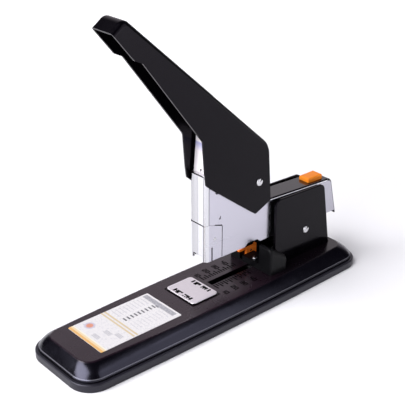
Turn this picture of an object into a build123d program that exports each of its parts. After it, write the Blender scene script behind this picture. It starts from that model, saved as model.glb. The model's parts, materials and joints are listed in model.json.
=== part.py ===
from build123d import *
from math import cos, radians, sin, sqrt
import os

# Heavy-duty desktop stapler with a lever handle, millimetres.
# X runs along the base towards the hinge bracket, Y across it, Z up.
# The origin is on the table, under the middle of the base.

# ---- common ----
overrun = 1.0
spring_end_gap = 0.05
head_edge_share = 0.7

# ---- base ----
base_length = 289.0
base_end_width = 75.0
base_bow = 2.2
base_corner_radius = 18.5
foot_height = 0.5
foot_radius = 6.0
foot_recess = 0.6
foot_edge_radius = 0.2
foot_pad_inset = 15.0
tray_top = 6.5
tray_rim = 2.2
tray_rim_radius = 1.2
tray_ledge_height = 4.0
tray_wall = 4.0
tray_floor = 1.6
lip_inset = 2.4
lip_top = 8.5
shoulder_inset = 3.1
shoulder_height = 9.2
slope_middle = 0.45
slope_middle_rise = 0.57
plateau_front_inset = 10.2
plateau_rear_inset = 12.2
plateau_side_inset = 12.6
plateau_bow = 4.4
plateau_corner_radius = 10.0
plateau_height = 17.6
plateau_edge_radius = 1.0
sheet = 1.2
post_radius = 4.0
tray_screw_radius = 1.6
tray_screw_head_radius = 3.0
tray_screw_head_height = 0.9
tray_screw_length = 9.0
tray_screw_inset_x = 28.5
tray_screw_inset_y = 16.5

# ---- printed sheet ----
label_length = 74.0
label_width = 41.6
label_front = -117.9
label_thickness = 0.25
label_corner_radius = 1.0

# ---- reversible anvil ----
anvil_centre = -15.9
anvil_length = 26.0
anvil_width = 33.0
anvil_thickness = 1.4
anvil_corner_radius = 2.8
anvil_edge_radius = 0.42
anvil_lift = 0.1
groove_offset = 9.4
groove_width = 1.5
groove_depth = 0.6
clinch_inner = 0.9
clinch_reach = 6.2
stem_radius = 3.0
stem_length = 9.0
stem_chamfer = 0.5
clip_radius = 5.2
clip_thickness = 0.9
clip_drop = 3.2
anvil_spring_wire = 0.7
anvil_spring_play = 0.4
anvil_spring_end_gap = 0.1
anvil_spring_turns = 2.5
anvil_push_hole_radius = 8.0

# ---- hinge bracket ----
bracket_front = 60.6
bracket_rear_foot = 127.1
bracket_rear_top = 117.2
bracket_top_front = 76.9
bracket_top_rear = 75.0
bracket_inner = 12.5
bracket_sheet = 2.0
bracket_corner_radius = 6.0
bracket_edge_radius = 0.7
bracket_web_front = 66.0
bracket_web_rear = 121.0
bracket_screw_x = (94.0, 114.0)
bracket_screw_y = 7.0
bracket_screw_radius = 1.9
bracket_screw_head_radius = 3.4
bracket_screw_head_height = 1.9
bracket_screw_edge_radius = 0.95
bracket_screw_length = 6.5

# ---- arm pivot ----
pivot_x = 96.4
pivot_z = 39.6
pivot_radius = 2.6
rivet_head_radius = 3.1
rivet_head_height = 0.9
running_clearance = 0.06
fixed_clearance = 0.02
spacer_radius = 5.6
side_play = 0.3

# ---- arm ----
arm_front = -9.6
arm_half_width = 9.3
arm_sheet = 1.2
arm_corner_radius = 3.0
arm_bottom_front = 44.3
arm_bottom_rear = 42.4
tower_height = 116.0
tower_rear = 50.0
tower_rear_height = 106.0
tower_rear_radius = 8.0
notch_play = 0.8
notch_corner_radius = 2.0
notch_front_radius = 1.0
seam = 0.2
nose_rear = 6.8
nose_front_height = 74.8
nose_shoulder_x = -7.0
nose_shoulder_height = 75.9
nose_rear_height = 71.3
nose_corner_radius = 0.8
nose_slot_x = -3.4
nose_slot_width = 0.8
nose_slot_height = 11.6
nose_window_width = 11.0
nose_window_height = 3.6
nose_window_radius = 2.88
nose_rivet_x = -0.6
nose_rivet_z = 62.5
nose_rivet_radius = 1.3
nose_rivet_head = 0.45
nose_rivet_edge_radius = 0.36
hollow_x = 40.0
hollow_radius = 8.5
hollow_depth = 2.6
hollow_top_half = 5.1
hollow_corner_radius = 2.0

# ---- arm cover strip ----
cover_sheet = 1.5
cover_half_width = 9.1
cover_seat_gap = 0.05
cover_edge_radius = 1.3
cover_front = 54.6
cover_front_rise = 17.2
cover_rear = 131.0
cover_rear_rise = 13.35
cover_tail_x = 139.0
cover_tail_z = 39.8
cover_bend_radius = 5.0
tower_foot_gap = 0.4

# ---- release button ----
button_front = 107.2
button_length = 16.6
button_half_width = 5.2
button_rise = 18.0
button_foot_rise = 7.0
button_flange = 1.2
button_flange_thickness = 1.8
button_gap = 0.3
button_edge_radius = 1.3
button_spring_radius = 2.6
button_spring_wire = 0.7
button_spring_turns = 3

# ---- staple magazine ----
rail_half_width = 5.7
rail_height = 15.6
rail_top = 61.0
rail_sheet = 1.0
rail_rear = 126.0
rail_pin_radius = 1.1
rail_pin_drop = 14.0
rail_pin_x = (82.0, 121.0)
staple_half_width = 6.5
staple_wire = 0.6
staple_leg = 13.0
staple_strip_length = 33.0
staple_pitch = 1.1
staple_groove = 0.12
staple_gap = 0.1
blade_thickness = 1.0
blade_half_width = 6.4
blade_rise = 2.6
blade_top = 108.0
blade_gap = 0.15
pusher_length = 12.0
pusher_skirt = 11.8
pusher_rise = 7.0
pusher_play = 0.15
rod_radius = 1.3
rod_rise = 3.9
rod_play = 0.08
rod_front = 11.0
rod_rear = 104.5
pusher_spring_radius = 2.6
pusher_spring_wire = 0.7
pusher_spring_turns = 16
guide_cheek_inner = 6.8
guide_cheek_rear = 14.0
guide_cheek_rise = 4.4
guide_cheek_lift = 0.3
guide_cheek_radius = 2.0
seat_bottom_rise = 1.8
seat_rise = 4.0
seat_lug_wall = 1.2
frame_front = 84.0
frame_rear = 106.0
frame_inner = 6.6
frame_web_rise = 8.0
frame_web_thickness = 1.6
frame_web_setback = 2.0
frame_foot_lift = 1.0
frame_corner_radius = 2.0
frame_eye_radius = 7.0
frame_eye_corner_radius = 6.5
frame_rivet_x = (90.0, 101.0)
frame_rivet_drop = 7.0
frame_rivet_radius = 1.6
frame_rivet_head_radius = 2.56
frame_rivet_head = 0.7
stop_thickness = 4.0
stop_play = 0.1
latch_front = 110.0
latch_rear = 122.0
latch_rise = 3.0

# ---- plunger and its spring ----
plunger_half_width = 7.7
plunger_rear = 15.4
plunger_end_gap = 3.8
plunger_shoulder = 112.0
plunger_top = 147.0
plunger_top_front = -4.3
plunger_sheet = 1.5
plunger_foot_radius = 2.0
plunger_rear_radius = 3.0
plunger_nose_radius = 2.0
plunger_slot_wall = 3.0
plunger_top_rear_inset = 6.0
plunger_cup_floor = 113.0
plunger_spring_x = 5.0
plunger_spring_radius = 3.8
plunger_spring_wire = 1.0
plunger_spring_turns = 11
plunger_bore_radius = 5.0
plunger_bore_top = 110.0
blade_rivet_radius = 1.5
blade_rivet_z = (92.0, 102.0)
witness_hole_radius = 1.1
witness_hole_z = 118.6
witness_hole_depth = 4.5

# ---- handle ----
handle_pivot_x = 43.2
handle_pivot_z = 97.9
handle_pin_radius = 2.6
handle_inner = 10.1
handle_sheet = 1.6
handle_bend_radius = 3.4
handle_pin_play = 0.15
handle_washer_radius = 6.0
handle_washer_play = 0.3
handle_spacer_radius = 4.6
drive_pin_x = 10.5
drive_pin_z = 122.0
drive_pin_radius = 2.5
drive_slot_play = 0.85
drive_slot_corner_share = 0.8
handle_swing = 29.5
handle_tip_x = -79.4
handle_tip_z = 247.5
tip_return_x = 11.5
tip_return_z = 10.3
tip_inner_x = 1.4
tip_inner_radius = 4.4
web_end_x = -3.5
handle_cut_reach = 60.0
back_end_x = 1.4
back_end_z = 37.4
# corners of the handle's side view as (x, z, radius), the tip's from the tip and the others from the pivot
handle_foot_corners = ((13.3, -19.6, 1.5), (-3.3, -26.7, 2.5))
handle_flap_corners = ((-50.7, 9.3, 3.0), (-54.5, 12.7, 2.0), (-55.9, 23.1, 10.0), (-57.9, 48.4, 6.0))
handle_tip_corners = ((12.8, -32.1, 4.0), (6.2, -29.0, 4.0), (-11.0, -7.9, 0.0), (0.0, 0.0, 6.0))
handle_rear_corners = ((back_end_x, back_end_z, 0.0), (7.4, 30.7, 6.0), (9.8, 23.6, 8.0))

# ---- lifting spring ----
lift_spring_x = 81.5
lift_spring_radius = 4.3
lift_spring_wire = 1.3
lift_spring_turns = 9
cup_radius = 7.5
cup_height = 3.0
cup_floor = 0.8
cup_wall = 1.2
pad_length = 13.0
pad_thickness = 1.3

# ---- depth guide ----
guide_front = 47.0
guide_rear = 59.8
guide_arm_rear = 66.0
guide_half_width = 24.0
guide_gap_half_width = 10.0
guide_arm_inner = 16.5
guide_front_height = 42.0
guide_rear_height = 29.5
guide_saddle_height = 23.2
guide_corner_radius = 5.0
guide_front_edge = 1.5
guide_rear_edge = 2.5
guide_lift = 0.1
slot_front = 2.4
slot_rear = 60.0
slot_width = 6.0
key_play = 0.15
key_length = 10.0
key_depth = 1.0
key_setback = 0.5
guide_screw_x = 51.0
guide_screw_y = -1.3
guide_screw_radius = 1.4
guide_screw_head_radius = 2.2
guide_screw_head_height = 1.4
guide_screw_edge_radius = 0.84
guide_screw_tip = 1.0
guide_nut_length = 9.0
guide_nut_half_width = 8.0
guide_nut_thickness = 2.0
guide_nut_gap = 0.2
lever_front = 43.7
lever_rear = 63.5
lever_lip_thickness = 2.0
lever_body_front = 52.4
lever_inner = 9.7
lever_width = 2.4
lever_top = 28.6
lever_bottom = 19.8
lever_play = 0.3
lever_drop = 0.9
lever_tip_radius = 0.8
lever_corner_radius = 0.6
lever_pin_x = 57.4
lever_pin_z = 24.2
lever_pin_radius = 1.0
lever_pin_length = 8.5

# ---- sizes worked out from the ones above ----
plateau_bottom = plateau_height - sheet
tray_screw_x = base_length / 2 - tray_screw_inset_x
tray_screw_y = base_end_width / 2 - tray_screw_inset_y
bracket_outer = bracket_inner + bracket_sheet
arm_inner = arm_half_width - arm_sheet
rail_bottom = rail_top - rail_height
rail_pin_z = rail_top - rail_pin_drop
pusher_bottom = rail_top - pusher_skirt
pusher_top = rail_top + pusher_rise
rod_z = rail_top + rod_rise
guide_cheek_top = rail_top + guide_cheek_rise
seat_bottom = rail_top + seat_bottom_rise
seat_top = rail_top + seat_rise
frame_web_bottom = rail_top + frame_web_rise
frame_rivet_z = rail_top - frame_rivet_drop
latch_top = rail_top + latch_rise
button_bottom = rail_top + button_foot_rise
button_top = rail_top + button_rise
cover_front_height = rail_top + cover_front_rise
cover_rear_height = rail_top + cover_rear_rise
blade_front = arm_front + arm_sheet + blade_gap
blade_rear = blade_front + blade_thickness
blade_bottom = rail_top + blade_rise
guide_cheek_front = arm_front + arm_corner_radius
staple_front = blade_rear + staple_gap
staple_top = rail_top + staple_gap + staple_wire
staple_rear = staple_front + staple_strip_length
pusher_front = staple_rear + staple_gap
handle_outer = handle_inner + handle_sheet
drive_angle = radians(handle_swing)
drive_arm_x = drive_pin_x - handle_pivot_x
drive_arm_z = drive_pin_z - handle_pivot_z
drive_end_x = handle_pivot_x + drive_arm_x * cos(drive_angle) - drive_arm_z * sin(drive_angle)
drive_end_z = handle_pivot_z + drive_arm_x * sin(drive_angle) + drive_arm_z * cos(drive_angle)
plunger_travel = drive_pin_z - drive_end_z
plunger_bottom = seat_top + plunger_travel + plunger_end_gap
slot_play = drive_pin_radius + drive_slot_play
drive_slot_radius = slot_play * drive_slot_corner_share
arm_cut_half = arm_half_width + overrun
notch_front = drive_end_x - drive_pin_radius - notch_play
notch_rear = drive_pin_x + drive_pin_radius + notch_play
notch_floor = drive_end_z - drive_pin_radius - notch_play
cover_slope = (cover_rear_height - cover_front_height) / (cover_rear - cover_front)
tail_run = (cover_tail_x - cover_rear) / (cover_rear_height - cover_sheet / 2 - cover_tail_z)
wall_bend_radius = cover_bend_radius - cover_sheet / 2 - cover_seat_gap
handle_back_x = handle_pivot_x + back_end_x
handle_back_z = handle_pivot_z + back_end_z


def wall_top(x):
    """Top edge of the arm's walls at x, where the cover strip rests on them."""
    return cover_front_height + cover_slope * (x - cover_front) - cover_sheet - cover_seat_gap


def wall_rear(z):
    """Rear edge of the arm's walls at height z, just inside the cover's folded end."""
    middle = cover_rear + (cover_rear_height - cover_sheet / 2 - z) * tail_run
    return middle - (cover_sheet / 2 + cover_seat_gap) * sqrt(1 + tail_run**2)


def arm_bottom(x):
    """Height of the arm's lower edge at x."""
    slope = (arm_bottom_rear - arm_bottom_front) / (wall_rear(arm_bottom_rear) - arm_front)
    return arm_bottom_front + slope * (x - arm_front)


def save(part, name):
    """Name one finished piece and write it to its own file."""
    part.label = name
    export_step(part, f"parts/{name}.step")


def rounded_outline(front, rear, half_end, bow, radius):
    """Rounded plan outline from front to rear with gently bowed long sides."""
    middle = (front + rear) / 2
    half_middle = half_end + bow
    with BuildSketch() as outline:
        with BuildLine():
            ThreePointArc((front, -half_end), (middle, -half_middle), (rear, -half_end))
            Line((rear, -half_end), (rear, half_end))
            ThreePointArc((rear, half_end), (middle, half_middle), (front, half_end))
            Line((front, half_end), (front, -half_end))
        make_face()
        fillet(outline.vertices(), radius)
    return outline.sketch


def base_outline(inset):
    """Outline of the base, pulled in by inset all round."""
    end = base_length / 2 - inset
    return rounded_outline(-end, end, base_end_width / 2 - inset, base_bow, base_corner_radius - inset)


def slope_outline(share, inset):
    """Outline of the cover part of the way up its slope, share 0 at the shoulder and 1 on top."""
    front = shoulder_inset + share * (plateau_front_inset - shoulder_inset) + inset
    rear = shoulder_inset + share * (plateau_rear_inset - shoulder_inset) + inset
    side = shoulder_inset + share * (plateau_side_inset - shoulder_inset) + inset
    bow = base_bow + share * (plateau_bow - base_bow)
    shoulder_radius = base_corner_radius - shoulder_inset
    radius = shoulder_radius + share * (plateau_corner_radius - shoulder_radius) - inset
    end = base_length / 2
    return rounded_outline(front - end, end - rear, base_end_width / 2 - side, bow, radius)


def profile(*corners):
    """Closed outline through (x, z, radius) corners, each rounded by its own radius."""
    with BuildSketch() as shape:
        with BuildLine():
            Polyline(*[(x, z) for x, z, radius in corners], close=True)
        make_face()
        for x, z, radius in corners:
            if radius > 0:
                fillet(shape.vertices().sort_by_distance((x, z))[0], radius)
    return shape.sketch


def box_sketch(x_low, x_high, y_low, y_high):
    """Rectangle between two corners."""
    with BuildSketch() as shape:
        with Locations(((x_low + x_high) / 2, (y_low + y_high) / 2)):
            Rectangle(x_high - x_low, y_high - y_low)
    return shape.sketch


def coil_spring(radius, wire, length, turns):
    """Round-wire coil standing on Z = 0, its wire's outside within the length."""
    with BuildPart() as coil:
        with BuildLine(Plane.XY.offset(wire / 2)) as path:
            Helix((length - wire) / turns, length - wire, radius)
        with BuildSketch(path.line ^ 0):
            Circle(wire / 2)
        sweep(is_frenet=True)
    return coil.part


def headed_pin(shank_radius, half_length, head_radius, head_height):
    """Pin along Y with a domed head on each end."""
    with BuildPart() as pin:
        with BuildSketch(Plane.XZ.offset(-half_length)):
            Circle(shank_radius)
        extrude(amount=2 * half_length)
        for side in (-1, 1):
            with BuildSketch(Plane.XZ.offset(side * half_length)):
                Circle(head_radius)
            extrude(amount=side * head_height)
        rims = pin.edges().filter_by(GeomType.CIRCLE)
        fillet([rims.sort_by(Axis.Y)[0], rims.sort_by(Axis.Y)[-1]], head_height * head_edge_share)
    return pin.part


os.makedirs("parts", exist_ok=True)

# ======================= base =======================

tray_screw_places = [(x, y) for x in (-tray_screw_x, tray_screw_x) for y in (-tray_screw_y, tray_screw_y)]
bracket_screw_places = [(x, y) for x in bracket_screw_x for y in (-bracket_screw_y, bracket_screw_y)]
slope_height = plateau_height - shoulder_height
slope_run = (plateau_side_inset - shoulder_inset) / slope_height
wall_shift = sheet * sqrt(1 + slope_run**2)
cavity_foot_share = (lip_top - shoulder_height) / slope_height
cavity_top_share = 1 - sheet / slope_height
post_bottom = foot_height + tray_floor

with BuildPart() as base_cover:
    with BuildSketch(Plane.XY.offset(tray_ledge_height)):
        add(base_outline(lip_inset))
    extrude(amount=lip_top - tray_ledge_height)
    for inset, height in ((lip_inset, lip_top), (shoulder_inset, shoulder_height)):
        with BuildSketch(Plane.XY.offset(height)):
            add(base_outline(inset))
    loft(ruled=True)
    for share, rise in ((0, 0), (slope_middle, slope_middle_rise), (1, 1)):
        with BuildSketch(Plane.XY.offset(shoulder_height + rise * slope_height)):
            add(slope_outline(share, 0))
    loft()
    fillet(base_cover.faces().sort_by(Axis.Z)[-1].edges(), plateau_edge_radius)
    with BuildSketch(Plane.XY.offset(tray_ledge_height)):
        add(base_outline(lip_inset + sheet))
    extrude(amount=lip_top - tray_ledge_height, mode=Mode.SUBTRACT)
    for share, height in ((cavity_foot_share, lip_top), (cavity_top_share, plateau_bottom)):
        with BuildSketch(Plane.XY.offset(height)):
            add(slope_outline(share, wall_shift))
    loft(ruled=True, mode=Mode.SUBTRACT)
    with BuildSketch(Plane.XY.offset(post_bottom)):
        with Locations(tray_screw_places):
            Circle(post_radius)
    extrude(amount=plateau_bottom - post_bottom)
    with BuildSketch(Plane.XY.offset(post_bottom)):
        with Locations(tray_screw_places):
            Circle(tray_screw_radius + fixed_clearance)
    extrude(amount=tray_screw_length, mode=Mode.SUBTRACT)
    with BuildSketch(Plane.XY.offset(plateau_bottom)):
        add(box_sketch(slot_front, slot_rear, -slot_width / 2, slot_width / 2))
        with Locations((anvil_centre, 0)):
            Circle(stem_radius + running_clearance)
        with Locations(bracket_screw_places):
            Circle(bracket_screw_radius + fixed_clearance)
        for side in (-1, 1):
            slit = sorted((side * (bracket_inner - seam), side * (bracket_outer + seam)))
            add(box_sketch(bracket_front - seam, bracket_rear_foot + seam, *slit))
    extrude(amount=sheet, mode=Mode.SUBTRACT)
save(base_cover.part, "base_cover")

with BuildPart() as base_tray:
    with BuildSketch(Plane.XY.offset(foot_height)):
        add(base_outline(0))
    extrude(amount=tray_top - foot_height)
    fillet(base_tray.faces().sort_by(Axis.Z)[-1].edges(), tray_rim_radius)
    with BuildSketch(Plane.XY.offset(tray_ledge_height)):
        add(base_outline(tray_rim))
    extrude(amount=tray_top - tray_ledge_height, mode=Mode.SUBTRACT)
    with BuildSketch(Plane.XY.offset(post_bottom)):
        add(base_outline(tray_wall))
    extrude(amount=tray_ledge_height - post_bottom, mode=Mode.SUBTRACT)
    with BuildSketch(Plane.XY.offset(foot_height)):
        with Locations(tray_screw_places):
            Circle(tray_screw_radius + fixed_clearance)
        with Locations((anvil_centre, 0)):
            Circle(anvil_push_hole_radius)
    extrude(amount=tray_floor, mode=Mode.SUBTRACT)
    with BuildSketch(Plane.XY.offset(foot_height)):
        with Locations(tray_screw_places):
            Circle(tray_screw_head_radius + seam)
    extrude(amount=tray_screw_head_height, mode=Mode.SUBTRACT)
    foot_x = base_length / 2 - foot_pad_inset
    foot_y = base_end_width / 2 - foot_pad_inset
    foot_places = [(x, y) for x in (-foot_x, foot_x) for y in (-foot_y, foot_y)]
    with BuildSketch(Plane.XY.offset(foot_height)):
        with Locations(foot_places):
            Circle(foot_radius)
    extrude(amount=foot_recess, mode=Mode.SUBTRACT)
save(base_tray.part, "base_tray")

with BuildPart() as rubber_feet:
    with BuildSketch():
        with Locations(foot_places):
            Circle(foot_radius - seam)
    extrude(amount=foot_height + foot_recess)
    fillet(rubber_feet.faces().filter_by(Axis.Z).group_by(Axis.Z)[0].edges(), foot_edge_radius)
save(rubber_feet.part, "rubber_feet")

with BuildPart() as tray_screws:
    with BuildSketch(Plane.XY.offset(foot_height)):
        with Locations(tray_screw_places):
            Circle(tray_screw_head_radius)
    extrude(amount=tray_screw_head_height)
    with BuildSketch(Plane.XY.offset(foot_height + tray_screw_head_height)):
        with Locations(tray_screw_places):
            Circle(tray_screw_radius)
    extrude(amount=tray_screw_length)
save(tray_screws.part, "tray_screws")

with BuildPart() as label_sheet:
    with BuildSketch(Plane.XY.offset(plateau_height)):
        with Locations((label_front + label_length / 2, 0)):
            RectangleRounded(label_length, label_width, label_corner_radius)
    extrude(amount=label_thickness)
save(label_sheet.part, "label_sheet")

# ======================= reversible anvil =======================

anvil_bottom = plateau_height + anvil_lift
anvil_top = anvil_bottom + anvil_thickness

with BuildPart() as anvil_plate:
    with BuildSketch(Plane.XY.offset(anvil_bottom)):
        with Locations((anvil_centre, 0)):
            RectangleRounded(anvil_length, anvil_width, anvil_corner_radius)
    extrude(amount=anvil_thickness)
    fillet(anvil_plate.faces().sort_by(Axis.Z)[-1].edges(), anvil_edge_radius)
    with BuildSketch(Plane.XY.offset(anvil_top - groove_depth)):
        for side in (-1, 1):
            middle = side * (clinch_inner + clinch_reach / 2)
            with Locations((anvil_centre + groove_offset, middle)):
                SlotOverall(clinch_reach, groove_width, rotation=90)
            with Locations((anvil_centre - groove_offset, middle + side * clinch_reach / 2)):
                SlotOverall(clinch_reach, groove_width, rotation=90)
    extrude(amount=groove_depth, mode=Mode.SUBTRACT)
save(anvil_plate.part, "anvil_plate")

stem_bottom = anvil_bottom - stem_length
clip_top = plateau_bottom - clip_drop
with BuildPart() as anvil_stem:
    with BuildSketch(Plane.XY.offset(stem_bottom)):
        with Locations((anvil_centre, 0)):
            Circle(stem_radius)
    extrude(amount=stem_length)
    chamfer(anvil_stem.faces().sort_by(Axis.Z)[0].edges(), stem_chamfer)
save(anvil_stem.part, "anvil_stem")

with BuildPart() as anvil_clip:
    with BuildSketch(Plane.XY.offset(clip_top - clip_thickness)):
        with Locations((anvil_centre, 0)):
            Circle(clip_radius)
            Circle(stem_radius + fixed_clearance, mode=Mode.SUBTRACT)
    extrude(amount=clip_thickness)
save(anvil_clip.part, "anvil_clip")

anvil_spring_radius = stem_radius + anvil_spring_wire / 2 + anvil_spring_play
anvil_spring_length = clip_drop - 2 * anvil_spring_end_gap
with BuildPart() as anvil_spring:
    with Locations((anvil_centre, 0, clip_top + anvil_spring_end_gap)):
        add(coil_spring(anvil_spring_radius, anvil_spring_wire, anvil_spring_length, anvil_spring_turns))
save(anvil_spring.part, "anvil_spring")

# ======================= hinge bracket =======================

bracket_web_top = plateau_bottom
bracket_web_bottom = bracket_web_top - bracket_sheet

with BuildPart() as bracket:
    with BuildSketch(Plane.XZ.offset(bracket_inner)):
        add(profile(
            (bracket_front, bracket_web_bottom, 0),
            (bracket_rear_foot, bracket_web_bottom, 0),
            (bracket_rear_top, bracket_top_rear, bracket_corner_radius),
            (bracket_front, bracket_top_front, bracket_corner_radius),
        ))
    extrude(amount=bracket_sheet)
    outer_face = bracket.faces().sort_by(Axis.Y)[0]
    fillet(outer_face.edges().filter_by(lambda e: e.center().Z > plateau_height), bracket_edge_radius)
    with BuildSketch(Plane.XZ.offset(bracket_inner)):
        with Locations((pivot_x, pivot_z)):
            Circle(pivot_radius + fixed_clearance)
    extrude(amount=bracket_sheet, mode=Mode.SUBTRACT)
    mirror(about=Plane.XZ)
    with BuildSketch(Plane.XY.offset(bracket_web_bottom)):
        add(box_sketch(bracket_web_front, bracket_web_rear, -bracket_inner, bracket_inner))
    extrude(amount=bracket_sheet)
    with BuildSketch(Plane.XY.offset(bracket_web_bottom)):
        with Locations(bracket_screw_places):
            Circle(bracket_screw_radius + fixed_clearance)
    extrude(amount=bracket_sheet, mode=Mode.SUBTRACT)
save(bracket.part, "bracket")

with BuildPart() as bracket_screws:
    with BuildSketch(Plane.XY.offset(plateau_height)):
        with Locations(bracket_screw_places):
            Circle(bracket_screw_head_radius)
    extrude(amount=bracket_screw_head_height)
    fillet(bracket_screws.faces().filter_by(Axis.Z).group_by(Axis.Z)[-1].edges(), bracket_screw_edge_radius)
    with BuildSketch(Plane.XY.offset(plateau_height)):
        with Locations(bracket_screw_places):
            Circle(bracket_screw_radius)
    extrude(amount=-bracket_screw_length)
save(bracket_screws.part, "bracket_screws")

with BuildPart() as pivot_pin:
    with Locations((pivot_x, 0, pivot_z)):
        add(headed_pin(pivot_radius, bracket_outer, rivet_head_radius, rivet_head_height))
save(pivot_pin.part, "pivot_pin")

with BuildPart() as pivot_spacers:
    with BuildSketch(Plane.XZ.offset(arm_inner + side_play)):
        with Locations((pivot_x, pivot_z)):
            Circle(spacer_radius)
            Circle(pivot_radius + fixed_clearance, mode=Mode.SUBTRACT)
    extrude(amount=bracket_inner - arm_inner - side_play)
    mirror(about=Plane.XZ)
save(pivot_spacers.part, "pivot_spacers")

# ======================= lifting spring =======================

with BuildPart() as spring_cup:
    with BuildSketch(Plane.XY.offset(plateau_height)):
        with Locations((lift_spring_x, 0)):
            Circle(cup_radius)
    extrude(amount=cup_height)
    with BuildSketch(Plane.XY.offset(plateau_height + cup_floor)):
        with Locations((lift_spring_x, 0)):
            Circle(cup_radius - cup_wall)
    extrude(amount=cup_height - cup_floor, mode=Mode.SUBTRACT)
save(spring_cup.part, "spring_cup")

pad_bottom = rail_bottom - pad_thickness
lift_spring_foot = plateau_height + cup_floor + spring_end_gap
lift_spring_length = pad_bottom - spring_end_gap - lift_spring_foot
with BuildPart() as lift_spring:
    with Locations((lift_spring_x, 0, lift_spring_foot)):
        add(coil_spring(lift_spring_radius, lift_spring_wire, lift_spring_length, lift_spring_turns))
save(lift_spring.part, "lift_spring")

with BuildPart() as lift_pad:
    with BuildSketch(Plane.XY.offset(pad_bottom)):
        with Locations((lift_spring_x, 0)):
            Rectangle(pad_length, 2 * rail_half_width)
    extrude(amount=pad_thickness)
save(lift_pad.part, "lift_pad")

# ======================= depth guide =======================

guide_bottom = plateau_height + guide_lift

with BuildPart() as guide_block:
    with BuildSketch(Plane.XZ.offset(-guide_half_width)):
        add(profile(
            (guide_front, guide_bottom, 0),
            (guide_arm_rear, guide_bottom, 0),
            (guide_arm_rear, guide_rear_height, 0),
            (guide_front, guide_front_height, 0),
        ))
    extrude(amount=2 * guide_half_width)
    shoulder_x = (guide_front + guide_arm_rear) / 2
    shoulder_z = (guide_front_height + guide_rear_height) / 2
    for side in (-1, 1):
        shoulder = (shoulder_x, side * guide_half_width, shoulder_z)
        fillet(guide_block.edges().sort_by_distance(shoulder)[0], guide_corner_radius)
    for order, radius in ((0, guide_front_edge), (-1, guide_rear_edge)):
        end_rim = guide_block.faces().sort_by(Axis.X)[order].edges()
        fillet(end_rim.filter_by(lambda edge: edge.center().Z > guide_bottom + seam), radius)
    with BuildSketch(Plane.XY.offset(guide_saddle_height)):
        add(box_sketch(guide_front - overrun, guide_arm_rear + overrun,
                       -guide_gap_half_width, guide_gap_half_width))
    extrude(amount=guide_front_height, mode=Mode.SUBTRACT)
    with BuildSketch(Plane.XY.offset(guide_bottom)):
        add(box_sketch(guide_rear, guide_arm_rear + overrun, -guide_arm_inner, guide_arm_inner))
    extrude(amount=guide_front_height, mode=Mode.SUBTRACT)
    with BuildSketch(Plane.XY.offset(lever_bottom - lever_drop)):
        add(box_sketch(guide_front - overrun, lever_rear + lever_play, guide_gap_half_width - overrun,
                       lever_inner + lever_width + lever_play))
    extrude(amount=lever_top + lever_play - lever_bottom + lever_drop, mode=Mode.SUBTRACT)
    with BuildSketch(Plane.XY.offset(guide_bottom - key_depth)):
        key_front = guide_front + key_setback
        key_half_width = slot_width / 2 - key_play
        add(box_sketch(key_front, key_front + key_length, -key_half_width, key_half_width))
    extrude(amount=key_depth + overrun)
    with BuildSketch(Plane.XY.offset(guide_bottom - key_depth)):
        with Locations((guide_screw_x, guide_screw_y)):
            Circle(guide_screw_radius + fixed_clearance)
    extrude(amount=guide_saddle_height, mode=Mode.SUBTRACT)
    with BuildSketch(Plane.XZ.offset(-lever_inner)):
        with Locations((lever_pin_x, lever_pin_z)):
            Circle(lever_pin_radius + fixed_clearance)
    extrude(amount=-lever_pin_length, mode=Mode.SUBTRACT)
save(guide_block.part, "guide_block")

guide_nut_top = plateau_bottom - guide_nut_gap
with BuildPart() as guide_screw:
    with BuildSketch(Plane.XY.offset(guide_saddle_height)):
        with Locations((guide_screw_x, guide_screw_y)):
            Circle(guide_screw_head_radius)
    extrude(amount=guide_screw_head_height)
    fillet(guide_screw.faces().sort_by(Axis.Z)[-1].edges(), guide_screw_edge_radius)
    with BuildSketch(Plane.XY.offset(guide_saddle_height)):
        with Locations((guide_screw_x, guide_screw_y)):
            Circle(guide_screw_radius)
    extrude(amount=guide_nut_top - guide_nut_thickness - guide_screw_tip - guide_saddle_height)
save(guide_screw.part, "guide_screw")

with BuildPart() as guide_nut:
    with BuildSketch(Plane.XY.offset(guide_nut_top - guide_nut_thickness)):
        add(box_sketch(guide_screw_x - guide_nut_length / 2, guide_screw_x + guide_nut_length / 2,
                       -guide_nut_half_width, guide_nut_half_width))
        with Locations((guide_screw_x, guide_screw_y)):
            Circle(guide_screw_radius + fixed_clearance, mode=Mode.SUBTRACT)
    extrude(amount=guide_nut_thickness)
save(guide_nut.part, "guide_nut")

with BuildPart() as guide_lever:
    with BuildSketch(Plane.XZ.offset(-lever_inner)):
        add(profile(
            (lever_front, lever_top, lever_tip_radius),
            (lever_front, lever_top - lever_lip_thickness, lever_corner_radius),
            (lever_body_front, lever_top - lever_lip_thickness, 0),
            (lever_body_front, lever_bottom, lever_corner_radius),
            (lever_rear, lever_bottom, 0),
            (lever_rear, lever_top, 0),
        ))
    extrude(amount=-lever_width)
    with BuildSketch(Plane.XZ.offset(-lever_inner)):
        with Locations((lever_pin_x, lever_pin_z)):
            Circle(lever_pin_radius + running_clearance)
    extrude(amount=-lever_width, mode=Mode.SUBTRACT)
save(guide_lever.part, "guide_lever")

with BuildPart() as lever_pin:
    with BuildSketch(Plane.XZ.offset(-lever_inner)):
        with Locations((lever_pin_x, lever_pin_z)):
            Circle(lever_pin_radius)
    extrude(amount=-lever_pin_length)
save(lever_pin.part, "lever_pin")

# ======================= arm =======================


def arm_wall_sketch(x_rear):
    """Plan of the arm's sheet: a front wall with rounded corners and two long sides."""
    with BuildSketch() as plan:
        for half_width, front, radius, mode in (
            (arm_half_width, arm_front, arm_corner_radius, Mode.ADD),
            (arm_inner, arm_front + arm_sheet, arm_corner_radius - arm_sheet, Mode.SUBTRACT),
        ):
            add(profile(
                (x_rear, -half_width, 0),
                (front, -half_width, radius),
                (front, half_width, radius),
                (x_rear, half_width, 0),
            ), mode=mode)
    return plan.sketch


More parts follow.
